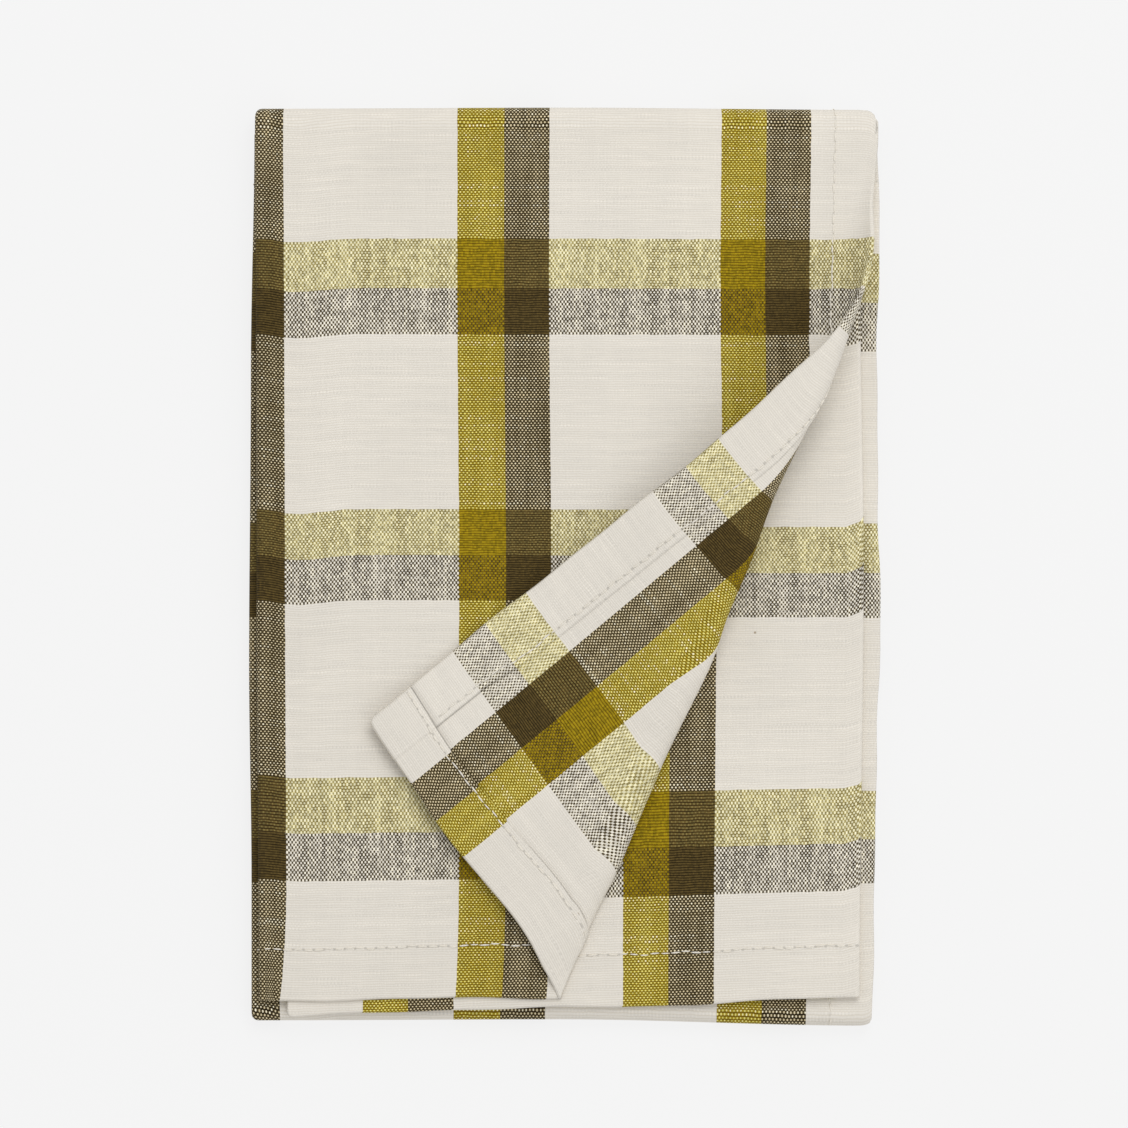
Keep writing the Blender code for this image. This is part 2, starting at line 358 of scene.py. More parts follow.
# %% Turn the corner back
ROLL_FOOT = complex(-0.0014, -0.1197)
ROLL_HEAD = complex(0.0838, 0.1112)
FOOT_RADIUS = 0.0016
HEAD_RADIUS = 0.0105
FLAP_TIP = complex(-0.0539, -0.0428)
FLAP_END_EDGE = math.radians(-55.8)
FLAP_SIDE_EDGE = math.radians(38.7)
FLAP_CURL_START = 0.126
FLAP_CURL = 1.9
FLAP_FALL = 0.066
FLAP_LIFT = 0.0032  # how far the flap's open end stays up
FLAP_LIFT_REACH = 0.036
FLAP_BOW = 0.0031  # how far its open end bows in, near the roll's foot
FLAP_BOW_PLACE = 0.0715  # from the tip
FLAP_BOW_SPREAD = 0.0125
FLAP_BOW_REACH = 0.045
REACHES = (  # name, place along the line, how far the roll stands out
    ("foot", 0.000, 0.0005),
    ("pinch", 0.005, 0.0007),
    ("rise", 0.018, 0.0026),
    ("low", 0.040, 0.0050),
    ("dent", 0.066, 0.0053),
    ("swell", 0.098, 0.0069),
    ("notch", 0.113, 0.0058),
    ("belly", 0.124, 0.0058),
    ("waist", 0.145, 0.0044),
    ("shoulder", 0.185, 0.0072),
    ("head", 0.246, 0.0080),
)
ROLL_LENGTH = abs(ROLL_HEAD - ROLL_FOOT)
ROLL_AXIS = (ROLL_HEAD - ROLL_FOOT) / ROLL_LENGTH
ROLL_OUT = -1j * ROLL_AXIS


def on_flap(place):
    """Where a place of the flat top layer lands once the corner is turned back."""
    from_side_edge = SIDE_EDGE_X - place.real
    from_open_end = place.imag - OPEN_END_Y
    curl = FLAP_CURL * np.maximum(from_open_end - FLAP_CURL_START, 0.0) ** 2
    bow = FLAP_BOW * bell((from_side_edge - FLAP_BOW_PLACE) / FLAP_BOW_SPREAD)
    bow = bow * (1 - ease(from_open_end / FLAP_BOW_REACH))
    return (
        FLAP_TIP
        + from_side_edge * np.exp(1j * FLAP_END_EDGE)
        + (from_open_end + bow + 1j * curl) * np.exp(1j * FLAP_SIDE_EDGE)
    )


def turn_back(place):
    """The place, its height over the top layer, and its share of the way through the roll."""
    local = (place - ROLL_FOOT) * ROLL_AXIS.conjugate()
    along, beyond = local.real, -local.imag
    radius = np.maximum(mix(FOOT_RADIUS, HEAD_RADIUS, along / ROLL_LENGTH), 1e-5)
    angle = np.clip(beyond / radius, 0.0, math.pi)
    landing = on_flap(ROLL_FOOT + along * ROLL_AXIS + np.maximum(math.pi * radius, beyond) * ROLL_OUT)
    share = ease(angle / math.pi)
    start = np.where(beyond > 0, ROLL_FOOT + along * ROLL_AXIS, place)
    spot = mix(start, landing, share) + read(REACHES, 2, along) * np.sin(angle) * ROLL_OUT
    fallen = ease((beyond - math.pi * radius) / FLAP_FALL)
    edge = 1 - ease((place.imag - OPEN_END_Y) / FLAP_LIFT_REACH)
    lying = mix(2 * radius, LAYER + FLAP_LIFT * edge, fallen)
    lift = np.where(angle < math.pi, radius * (1 - np.cos(angle)), lying)
    return np.where(beyond > 0, spot, place), np.where(beyond > 0, lift, 0.0), share


def lay(u, v):
    """Where the middle of the cloth lies, as a table of X, Y and Z."""
    x, y, level = fold(u, v)
    off_x, off_y = stray(u, v, x)
    place, lift, turned = turn_back(x + 1j * y)
    loose = in_top_layer(u, v)
    place = np.where(loose, place, x + 1j * y)
    lift, turned = np.where(loose, lift, 0.0), np.where(loose, turned, 0.0)
    place = place + (off_x + 1j * off_y) * (1 - turned)
    height = level * settled(place.real, place.imag) + lift
    height = height + crease_height(place.real, place.imag) * (level / TOP_LEVEL) ** 2
    return np.stack([place.real, place.imag, CLOTH / 2 + height], axis=-1)


tip = lay(np.zeros(1), np.zeros(1))[0]
print("the turned corner's tip is at", [round(float(side) * 1000, 1) for side in tip], "mm")

# %% [markdown]
# ## Hems
#
# Each edge is turned under twice and sewn down, so a hem is thicker than the cloth, on the wrong
# side only. Only the outer panel has room below it for the full thickness. The end hems are
# folded over the side hems, so a corner is thicker still, and the side stitches stop there. No
# sewn edge is straight: two tables say how wide each hem is, the outline wanders by a fraction
# of a millimetre, and its corners are a little round.

# %% Shape the hems and the outline
SIDE_HEM = 0.0134
END_HEM = 0.0148
SIDE_HEM_WIDTHS = (  # name, place along V, width, depth of the gap along its inner edge
    ("corner", 0.000, 0.0128, 0.00040),
    ("tip", 0.030, 0.0129, 0.00034),
    ("flap", 0.048, 0.0147, 0.00012),
    ("roll", 0.150, 0.0147, 0.00010),
    ("head", 0.200, 0.0129, 0.00000),
    ("inner end", 0.748, 0.0129, 0.00000),
)
END_HEM_WIDTHS = (  # name, place along U, width, depth of the gap along its inner edge
    ("corner", 0.000, 0.0143, 0.00050),
    ("first stripe", 0.021, 0.0137, 0.00040),
    ("first natural", 0.044, 0.0155, 0.00010),
    ("foot", 0.069, 0.0162, 0.00030),
    ("left fold", 0.172, 0.0155, 0.00000),
    ("right fold", 0.342, 0.0160, 0.00000),
    ("first stripe below", 0.408, 0.0156, 0.00000),
    ("inner edge", 0.502, 0.0147, 0.00000),
)
HEM_SPREAD = 0.0040  # how far around its inner edge a hem is moved to its width
HEM_STEP = 0.0003  # over which a hem falls back to the plain cloth
LIP = 0.0003  # how far a crisp edge rounds off on each side
LOOSE_HEM = 0.00050
TIGHT_HEM = 0.00018
CROSSING = 0.7  # what a corner adds, as a share of a hem
CORNER_ROUND = 0.0015
WANDER = 0.00022
WANDER_REACH = 0.010


def from_side(u):
    return np.minimum(u, WIDTH - u)


def from_end(v):
    return np.minimum(v, LENGTH - v)


def hem_thickness(u, v):
    """What the hems add here, and how deep the narrow gap along a loose hem's inner edge is."""
    loose = (u < middle_of(ACROSS, "left fold")) & (v < middle_of(ALONG, "far fold"))
    extra = np.where(loose, LOOSE_HEM, TIGHT_HEM)
    past_side, past_end = from_side(u) - SIDE_HEM, from_end(v) - END_HEM
    side, end = 1 - ease(past_side / HEM_STEP), 1 - ease(past_end / HEM_STEP)
    side_gap, end_gap = (
        read(table, 3, place) * np.clip(1 - np.abs(past - HEM_STEP) / LIP, 0, 1)
        for table, place, past in ((SIDE_HEM_WIDTHS, v, past_side), (END_HEM_WIDTHS, u, past_end))
    )
    gap = np.maximum(side_gap * (1 - end), end_gap)
    return extra * (np.maximum(side, end) + CROSSING * side * end) - gap, gap


def outline(u, v):
    """Moves points of the flat cloth to its uneven outline and hems."""
    waves = np.sin(v / 0.0083) + np.sin(v / 0.0151 + 1.3) + 0.6 * np.sin(v / 0.0042 + 0.4)
    other = np.sin(u / 0.0097 + 2.1) + np.sin(u / 0.0171) + 0.6 * np.sin(u / 0.0046 + 2.9)
    new_u = u + WANDER * waves * (np.exp(-u / WANDER_REACH) - np.exp(-(WIDTH - u) / WANDER_REACH))
    new_v = v + WANDER * other * (np.exp(-v / WANDER_REACH) - np.exp(-(LENGTH - v) / WANDER_REACH))
    a = np.clip(1 - from_side(u) / CORNER_ROUND, 0, 1)
    b = np.clip(1 - from_end(v) / CORNER_ROUND, 0, 1)
    draw_u = CORNER_ROUND * a * (1 - np.sqrt(1 - b * b / 2))
    draw_v = CORNER_ROUND * b * (1 - np.sqrt(1 - a * a / 2))
    draw_u += (read(SIDE_HEM_WIDTHS, 2, v) - SIDE_HEM) * bell((from_side(u) - SIDE_HEM) / HEM_SPREAD)
    draw_v += (read(END_HEM_WIDTHS, 2, u) - END_HEM) * bell((from_end(v) - END_HEM) / HEM_SPREAD)
    return (
        new_u + np.where(u < WIDTH / 2, draw_u, -draw_u),
        new_v + np.where(v < LENGTH / 2, draw_v, -draw_v),
    )


NEARBY = 0.00005  # metres between the places that a slope is read from


def slopes(u, v):
    """How the cloth runs at each point: along U, along V, and the way its right side faces."""
    across = (lay(u + NEARBY, v) - lay(u - NEARBY, v)) / (2 * NEARBY)
    along = (lay(u, v + NEARBY) - lay(u, v - NEARBY)) / (2 * NEARBY)
    facing = np.cross(along, across)
    return across, along, facing / np.linalg.norm(facing, axis=1, keepdims=True)


def surface(u, v, side):
    """Points of the cloth's right side, for side 1, or of its wrong side, for -1."""
    moved_u, moved_v = outline(u, v)
    _, _, facing = slopes(moved_u, moved_v)
    depth = CLOTH / 2 if side > 0 else CLOTH / 2 + hem_thickness(u, v)[0]
    places = lay(moved_u, moved_v) + facing * (side * np.broadcast_to(depth, u.shape))[:, None]
    places[:, 2] = np.maximum(places[:, 2], 0.0)  # the lowest layer lies flat on the floor
    return places


print(f"side hems {SIDE_HEM * 1000:.1f} mm, end hems {END_HEM * 1000:.1f} mm")

# %% [markdown]
# ## The cloth's mesh
#
# The flat cloth is divided finely in the outer panel, the top third and the tight half turns,
# and coarsely in the layers below. Extra lines run beside each hem's step and just inside each
# edge, so that smooth shading doesn't smear them. The corner is cut once more along the roll's
# own lines, because those run slantwise to the threads.

# %% Divide the flat cloth
EDGE_LINES = (0.0, LIP, 0.0008, 0.0016)  # lines just inside each edge
ROLL_STEPS = 14
SAME_LINE = 0.00012
SAME_POINT = 0.00005


def dividing_lines(runs, hem):
    total = sum(run_length(run) for run in runs)
    keep = [*EDGE_LINES, hem - LIP, hem, hem + HEM_STEP, hem + HEM_STEP + LIP]
    keep += [total - line for line in keep]
    start, lines = 0.0, []
    for run in runs:
        length = run_length(run)
        steps = math.ceil(length / run[3])
        lines += [start + length * step / steps for step in range(steps)]
        start += length
    lines = [line for line in lines if min(abs(line - other) for other in keep) > 3 * SAME_LINE]
    return np.array(sorted(keep + lines))


def flat_cloth():
    u_lines, v_lines = dividing_lines(ACROSS, SIDE_HEM), dividing_lines(ALONG, END_HEM)
    u, v = np.meshgrid(u_lines, v_lines)
    columns = len(u_lines)
    corner = (np.arange(len(v_lines) - 1)[:, None] * columns + np.arange(columns - 1)).ravel()
    quads = np.stack([corner, corner + 1, corner + 1 + columns, corner + columns], axis=1)
    places = np.stack([u.ravel(), v.ravel(), np.zeros(u.size)], axis=1)
    mesh = bpy.data.meshes.new("flat cloth")
    mesh.from_pydata(places.tolist(), [], quads.tolist())
    bm = bmesh.new()
    bm.from_mesh(mesh)
    bpy.data.meshes.remove(mesh)
    return bm


def cut_corner(bm):
    """Cuts the outer panel's corner along the lines of the roll."""
    for step in range(ROLL_STEPS + 1):
        angle = math.pi * step / ROLL_STEPS
        foot = ROLL_FOOT + angle * FOOT_RADIUS * ROLL_OUT
        head = ROLL_HEAD + angle * HEAD_RADIUS * ROLL_OUT
        foot, head = (complex(SIDE_EDGE_X - end.real, end.imag - OPEN_END_Y) for end in (foot, head))
        ahead = head - foot
        faces = [
            face
            for face in bm.faces
            if in_top_layer(max(vert.co.x for vert in face.verts), max(vert.co.y for vert in face.verts))
        ]
        edges = {edge for face in faces for edge in face.edges}
        verts = {vert for face in faces for vert in face.verts}
        bmesh.ops.bisect_plane(
            bm,
            geom=[*verts, *edges, *faces],
            dist=1e-7,
            plane_co=(foot.real, foot.imag, 0),
            plane_no=(ahead.imag, -ahead.real, 0),
        )
    bmesh.ops.remove_doubles(bm, verts=bm.verts[:], dist=SAME_POINT)
    for vert in bm.verts:
        vert.co[:2] = [0.0 if side < LIP / 3 else side for side in vert.co[:2]]
    bmesh.ops.triangulate(bm, faces=[face for face in bm.faces if len(face.verts) > 4])


flat = flat_cloth()
whole = len(flat.faces)
cut_corner(flat)
print(whole, "cells in the flat cloth,", len(flat.faces), "once the corner is cut")

# %% [markdown]
# ## The check's own coordinates
#
# Each point of the mesh carries its place on the flat cloth as a UV pair in metres. A second
# pair is its place in an even weave: weaving and washing pull the stripes a little off their
# even spacing, and the bands bow. The tables say where the stripes and bands of some repeats lie
# on the real cloth. On the turned corner the side hem has drawn the cloth in, so the bands lie
# closer together there.

# %% Where the stripes and bands lie
WARP_PITCH = 0.000494
WEFT_PITCH = 0.000666
WARP_REPEAT = 147  # threads
WEFT_REPEAT = 112
BROWN_ENDS, MUSTARD_ENDS = 25, 25
BROWN_PICKS, MUSTARD_PICKS = 19, 19
PIXEL = 0.00027732  # one pixel of the photograph, in metres

STRIPES = (  # repeat, and where its brown, mustard and natural threads start, in pixels
    (0, 64.5, 109, 154),
    (1, 326, 371, 418),
    (2, 592, None, 681),
    (5, 1378, 1424, 1470),
    (6, 1641, 1687, 1733),
)
SIDE_EDGES = ((0, -37), (1810, 979))  # place in pixels, and the thread there
BANDS = (
    (0, 118, 165, 221),
    (1, 397, 442, 488),
    (2, 663, 709, 759),
    (7, 1945, 1989, 2038),
    (8, 2211, 2256, 2306),
    (9, 2478, None, 2577),
)
END_EDGES = ((0, -49), (2700, 1097))
BOWS = (  # name, place along U in pixels, shift of the first, second and third band in pixels
    ("side edge", 0, 1, 1, 1),
    ("middle", 520, 0, 0, 0),
    ("left panel", 582, 0, 5, 4),
    ("left fold", 617, -3, 0, 0),
    ("right fold", 1225, 0, 0, 0),
    ("inner panel", 1240, 11.5, 18, 12),
    ("inner edge", 1810, 11.5, 18, 12),
)
FIRST_BAND, SECOND_BAND, THIRD_BAND = 165, 440, 710
SIDE_DRAW = 0.090  # share of its length that the turned corner loses at the side hem
INNER_DRAW = 0.050  # and further in
DRAW_REACH = 0.046
SLACK = 0.0025  # how far its stripes lie off to the side at the open end
SLACK_REACH = 0.180
VEERS = (  # name, place along U, how far the flat part's stripes veer at the open end
    ("third stripe", 0.115, 0.0010),
    ("left fold", 0.172, 0.0019),
)
VEER_REACH = 0.035


def thread_place(table, edges, repeat, starts, pitch, place):
    """The place in the even pattern, in metres, of a place on the cloth."""
    known = list(edges)
    for number, *pixels in table:
        known += [(pixel, number * repeat + start) for pixel, start in zip(pixels, starts) if pixel]
    rows, threads = np.array(sorted(known)).T
    rows = rows * PIXEL
    beyond = np.minimum(place - rows[0], 0) + np.maximum(place - rows[-1], 0)
    return np.interp(place, rows, threads * pitch) + beyond


def weave_place(u, v):
    """A point's place in the even pattern."""
    _, _, turned = turn_back((SIDE_EDGE_X - u) + 1j * (OPEN_END_Y + v))
    turned = np.where(in_top_layer(u, v), turned, 0.0)
    slack = SLACK * turned * (1 - ease(v / SLACK_REACH))
    veer = read(VEERS, 2, u) * (1 - turned) * (u < run_length(ACROSS[0]))
    slack = slack + veer * np.clip(1 - v / VEER_REACH, 0, 1) ** 2
    draw = turned * mix(SIDE_DRAW, INNER_DRAW, ease(u / DRAW_REACH))
    first, second, third = (read(BOWS, column, u / PIXEL) * PIXEL for column in (2, 3, 4))
    bow = mix(first, second, ease((v / PIXEL - FIRST_BAND) / (SECOND_BAND - FIRST_BAND)))
    bow = mix(bow, third, ease((v / PIXEL - SECOND_BAND) / (THIRD_BAND - SECOND_BAND)))
    warp_starts = (0, BROWN_ENDS, BROWN_ENDS + MUSTARD_ENDS)
    weft_starts = (0, BROWN_PICKS, BROWN_PICKS + MUSTARD_PICKS)
    return (
        thread_place(STRIPES, SIDE_EDGES, WARP_REPEAT, warp_starts, WARP_PITCH, u - slack),
        thread_place(BANDS, END_EDGES, WEFT_REPEAT, weft_starts, WEFT_PITCH, v * (1 + draw) + bow),
    )


print(f"{WIDTH / WARP_PITCH:.0f} warp threads and {LENGTH / WEFT_PITCH:.0f} weft threads")

# %% [markdown]
# ## Lay the cloth
#
# The mesh is one closed skin: the right side, the wrong side, and a rim that bulges out a
# little between them, as a folded hem does. The threads run on round the rim. The hem on the
# wrong side is the cloth's own end, folded over, so its stripes don't quite meet the others.

# %% Fold the flat mesh up into the stack
RIM_BULGE = 0.35  # as a share of the thickness
RIM_TURN = 0.6  # how far the threads run on to the middle of the rim
HEM_JOG = 0.0007
# The painted shade in a hem's gap is full where the gap is this deep.
CREASE_DEPTH = 0.0005  # the depth of a gap that looks darkest


def folded_cloth(bm):
    bm.verts.index_update()
    flat_place = np.array([vert.co[:2] for vert in bm.verts])
    u, v = flat_place.T
    faces = [[vert.index for vert in face.verts] for face in bm.faces]
    rim_edges = [
        (loop.vert.index, loop.link_loop_next.vert.index)
        for edge in bm.edges
        if edge.is_boundary
        for loop in edge.link_loops
    ]
    rim = sorted({index for pair in rim_edges for index in pair})
    right, wrong = surface(u, v, 1), surface(u, v, -1)
    out_u, out_v = (
        (place[rim] > total - SAME_LINE) * 1.0 - (place[rim] < SAME_LINE) * 1.0
        for place, total in ((u, WIDTH), (v, LENGTH))
    )
    across, along, _ = slopes(*outline(u[rim], v[rim]))
    outward = across * out_u[:, None] + along * out_v[:, None]
    outward /= np.linalg.norm(outward, axis=1, keepdims=True)
    thick = np.linalg.norm(right[rim] - wrong[rim], axis=1, keepdims=True)
    middle = (right[rim] + wrong[rim]) / 2 + outward * thick * RIM_BULGE
    middle[:, 2] = np.maximum(middle[:, 2], 0.0)

    count = len(u)
    of_rim = {index: 2 * count + place for place, index in enumerate(rim)}
    polygons = [face[::-1] for face in faces]
    polygons += [[index + count for index in face] for face in faces]
    for a, b in rim_edges:
        polygons.append([a, b, of_rim[b], of_rim[a]])
        polygons.append([of_rim[a], of_rim[b], b + count, a + count])
    mesh = bpy.data.meshes.new("tea_towel")
    mesh.from_pydata(np.concatenate([right, wrong, middle]).tolist(), [], polygons)
    flat_all = np.concatenate([flat_place, flat_place, flat_place[rim]])
    woven = np.stack(weave_place(*outline(*flat_all.T)), axis=1)
    woven[2 * count :] += np.stack([out_u, out_v], axis=1) * thick * RIM_TURN
    wrong_side = np.repeat([0.0, 1.0, 0.5], [count, count, len(rim)])
    woven[:, 0] -= HEM_JOG * wrong_side * (flat_all[:, 1] < END_HEM + HEM_STEP / 2)
    corner_verts = np.zeros(len(mesh.loops), dtype=np.int32)
    mesh.loops.foreach_get("vertex_index", corner_verts)
    for name, places in (("weave", woven), ("flat", flat_all)):
        layer = mesh.uv_layers.new(name=name)
        layer.uv.foreach_set("vector", places[corner_verts].astype(np.float32).ravel())
    # Painted shade: the crease attribute says how much the narrow gap along a loose hem's inner edge is
    # darkened on the wrong side.
    crease = hem_thickness(*flat_all.T)[1] / CREASE_DEPTH * (wrong_side == 1.0)
    for name, values in (("wrong_side", wrong_side), ("crease", crease)):
        mesh.attributes.new(name, "FLOAT", "POINT").data.foreach_set("value", values.astype(np.float32))
    mesh.shade_smooth()
    mesh.validate()
    return add_object("tea_towel", mesh)


cloth = folded_cloth(flat)
flat.free()
triangles = sum(len(polygon.vertices) - 2 for polygon in cloth.data.polygons)
print("the folded cloth has", triangles, "triangles")

# %% [markdown]
# ## Formulas in a node tree
#
# The weave and the threads are made of small sums. A Wire is one output in a node tree, and a
# sum with it adds a Math node, so the node groups below can be read as formulas.

# %% Small helpers for node trees
SIGNS = ("add", "sub", "mul", "truediv", "pow", "lt", "gt", "abs")
OPERATIONS = ("ADD", "SUBTRACT", "MULTIPLY", "DIVIDE", "POWER", "LESS_THAN", "GREATER_THAN", "ABSOLUTE")


class Wire:
    """One output in a node tree."""

    def __init__(self, tree, socket):
        self.tree, self.socket = tree, socket

    def __rsub__(self, other):
        return self * -1.0 + other

    def math(self, operation, *others):
        return add_node(self.tree, "ShaderNodeMath", (self, *others), operation=operation)

    def __getitem__(self, name):
        """An output of the same node, by its name or place."""
        return Wire(self.tree, self.socket.node.outputs[name])


for sign, operation in zip(SIGNS, OPERATIONS):
    setattr(Wire, f"__{sign}__", lambda self, *others, way=operation: self.math(way, *others))


def plug(node, inputs):
    """Links or sets the inputs that have these names or places."""
    for key, value in inputs.items():
        if isinstance(value, Wire):
            value.tree.links.new(value.socket, node.inputs[key])
        else:
            node.inputs[key].default_value = value


def add_node(tree, kind, inputs=(), **settings):
    """Adds a node, sets it up, plugs its inputs and gives its first output."""
    node = tree.nodes.new(kind)
    for name, value in settings.items():
        setattr(node, name, value)
    plug(node, inputs if isinstance(inputs, dict) else dict(enumerate(inputs)))
    return Wire(tree, node.outputs[0])


def vector(x, y, z=0.0):
    return add_node(x.tree, "ShaderNodeCombineXYZ", (x, y, z))


def noise(place, scale=1.0, detail=2.0, roughness=0.5):
    inputs = {"Vector": place, "Scale": scale, "Detail": detail, "Roughness": roughness}
    return add_node(place.tree, "ShaderNodeTexNoise", inputs)


def chance_of(first, second):
    """A value from 0 to 1 that is always the same for the same two numbers."""
    inputs = {"Vector": vector(first, second)}
    return add_node(first.tree, "ShaderNodeTexWhiteNoise", inputs, noise_dimensions="2D")


def soft_step(wire, low, high):
    """From 0 at the first value to 1 at the second, level at both."""
    inputs = {"Value": wire, "From Min": low, "From Max": high}
    return add_node(wire.tree, "ShaderNodeMapRange", inputs, interpolation_type="SMOOTHSTEP")


def mixed(share, first, second, way="MIX"):
    """Two colours in one. A wire that holds a number stands for a grey."""
    tree = next(value.tree for value in (share, first) if isinstance(value, Wire))
    inputs = {0: share, 6: first, 7: second}
    return add_node(tree, "ShaderNodeMix", inputs, data_type="RGBA", blend_type=way)[2]


def shaded(colour, light):
    return mixed(1.0, colour, light, way="MULTIPLY")


def new_group(name, *inputs):
    """A shader node group, and what it is given."""
    tree = bpy.data.node_groups.new(name, "ShaderNodeTree")
    for socket in inputs:
        tree.interface.new_socket(socket, in_out="INPUT", socket_type="NodeSocketFloat")
    return tree, add_node(tree, "NodeGroupInput")


def close_group(tree, outputs):
    """Gives a group its outputs."""
    for socket in outputs:
        tree.interface.new_socket(socket, in_out="OUTPUT", socket_type="NodeSocketFloat")
    plug(tree.nodes.new("NodeGroupOutput"), outputs)
    print(tree.name, "has", len(tree.nodes), "nodes")
    return tree


def use_group(tree, group, inputs):
    return add_node(tree, "ShaderNodeGroup", inputs, node_tree=group)


print("helpers ready")

# %% [markdown]
# ## Counted threads
#
# A woven stripe is a count of coloured threads, so its edge always falls between two threads.
# This group turns a place into a thread number, says which colour that thread has, and gives
# each thread its own small difference in tone and thickness, because such cotton is full of
# slubs. It serves the warp and the weft alike.

# %% Node group: counted threads
WOBBLE = 0.7  # how far a thread wanders, in threads
WOBBLE_SCALE = 260.0  # per metre
THREAD_STEP = 7.31  # sets the slubs of two neighbouring threads apart


def counted_threads():
    counts = ("Pitch", "Repeat", "Brown Threads", "Mustard Threads", "Seed", "Slub Length")
    tree, given = new_group("counted threads", "Place", "Along", *counts)
    place, along, seed = given["Place"], given["Along"], given["Seed"]
    wobble = noise(vector(along * WOBBLE_SCALE, place * WOBBLE_SCALE, seed), detail=1.0)
    count = place / given["Pitch"] + (wobble - 0.5) * WOBBLE
    number = count.math("FLOOR")
    in_repeat = number.math("FLOORED_MODULO", given["Repeat"])
    brown = in_repeat < given["Brown Threads"] - 0.5
    dyed = in_repeat < given["Brown Threads"] + given["Mustard Threads"] - 0.5
    outputs = {
        "Brown": brown,
        "Mustard": dyed - brown,
        "Wave": (count * math.pi).math("SINE"),
        "Slub": noise(vector(number * THREAD_STEP, along / given["Slub Length"], seed), roughness=0.6),
        "Tone": chance_of(number, seed),
        "Number": number,
    }
    return close_group(tree, outputs)


THREADS = counted_threads()

# %% [markdown]
# ## Plain weave
#
# In a plain weave each thread goes over one and under one. The product of two sine waves, one
# across the warp and one across the weft, is high and low in just that chequer, and the warp is
# on top where it is high. The warp is the denser set and covers more than half, so the stripes
# look strong and the bands pale, though their threads are alike. A crossing is wider than it is
# high, because the weft is thicker and beaten flat. Between each two weft threads lies a valley,
# which is given as a mask for painted shade, and no two crossings are quite alike.

# %% Node group: plain weave
CROSSING_KEYS = ("Wave", "Slub", "Number")  # what a crossing takes from each of its two threads
WIDE, FLAT = 0.65, 1.35  # a crossing's shape across the warp and across the weft
WARP_SHARE, WEFT_SHARE = 0.7, 0.5  # how much further a thick thread covers
UNEVEN = 0.20  # how much one crossing differs from the next
GIVE_WAY = 0.12  # over which the warp gives way to the weft
RIB = (0.08, 0.85)  # where the valley beside a weft thread starts and where it is deepest


def plain_weave():
    names = [f"{way} {key}" for way in ("Warp", "Weft") for key in CROSSING_KEYS]
    tree, given = new_group("plain weave", "Warp Cover", *names)
    warp, weft = given["Warp Wave"], given["Weft Wave"]
    over = (warp * weft).math("SIGN") * (abs(warp) ** WIDE * abs(weft) ** FLAT)
    thick = (given["Warp Slub"] - 0.5) * WARP_SHARE - (given["Weft Slub"] - 0.5) * WEFT_SHARE
    chance = chance_of(given["Warp Number"], given["Weft Number"])
    over = over + given["Warp Cover"] + (thick + (chance - 0.5) * UNEVEN)
    beside_warp, beside_weft = 1 - abs(warp), 1 - abs(weft)
    rib = soft_step(beside_weft, *RIB) * (given["Weft Slub"] * 1.4 + 0.3)
    outputs = {
        "Warp On Top": soft_step(over, -GIVE_WAY, GIVE_WAY) * 0.95 + 0.025,
        "Crown": abs(over),
        "Valley": rib.math("MAXIMUM", beside_warp * beside_weft).math("MINIMUM", 1.0),
        "Chance": chance,
    }
    return close_group(tree, outputs)


WEAVE = plain_weave()

# %% [markdown]
# ## Sewing marks
#
# A needle leaves a small hole between two stitches, painted dark as shade, and the thread draws
# the cloth in, so the hem puckers. The group works out how far a place is from the sewing lines,
# then a mask for the holes' painted shade and a height for the puckers. The side hem's holes are
# faint on the right side.

# %% Node group: sewing marks
STITCH_PITCH = 0.0029
SEAM_INSET = 0.0016  # from a hem's inner edge to its line of stitches
SIZES = {"U": WIDTH, "V": LENGTH}
SEAMS = (  # counted across, the seam, counted along, where the sewing starts, how faint its holes are
    ("U", SIDE_HEM - SEAM_INSET, "V", END_HEM, 0.45),
    ("V", END_HEM - SEAM_INSET, "U", 0.0, 0.0),
)
HOLE_ALONG, HOLE_ACROSS = (0.86, 0.98), (0.00045, 0.00015)  # its outer rim and its clear middle
PUCKER_REACH = 0.0026
PUCKERS_ALONG, PUCKERS_ACROSS = 210.0, 60.0  # per metre


def sewing_marks():
    tree, given = new_group("sewing marks", "U", "V", "Wrong Side")
    inward = {name: given[name].math("MINIMUM", total - given[name]) for name, total in SIZES.items()}
    holes, puckers = [], []
    for across, seam, along, start, faint in SEAMS:
        sewn = inward[along] > start
        away = abs(inward[across] - seam)
        between = abs((given[along] * (math.pi / STITCH_PITCH)).math("COSINE"))
        # The holes' mask, used for painted shade.
        hole = soft_step(between, *HOLE_ALONG) * soft_step(away, *HOLE_ACROSS) * sewn
        holes.append(hole * (given["Wrong Side"] * faint + (1 - faint)))
        near = away / PUCKER_REACH
        fade = (near * near * -1.0).math("EXPONENT")
        place = vector(given[along] * PUCKERS_ALONG, inward[across] * PUCKERS_ACROSS)
        puckers.append(fade * sewn * noise(place, detail=1.0))
    hole, pucker = (first.math("MAXIMUM", second) for first, second in (holes, puckers))
    return close_group(tree, {"Hole": hole, "Pucker": pucker})


SEWING = sewing_marks()
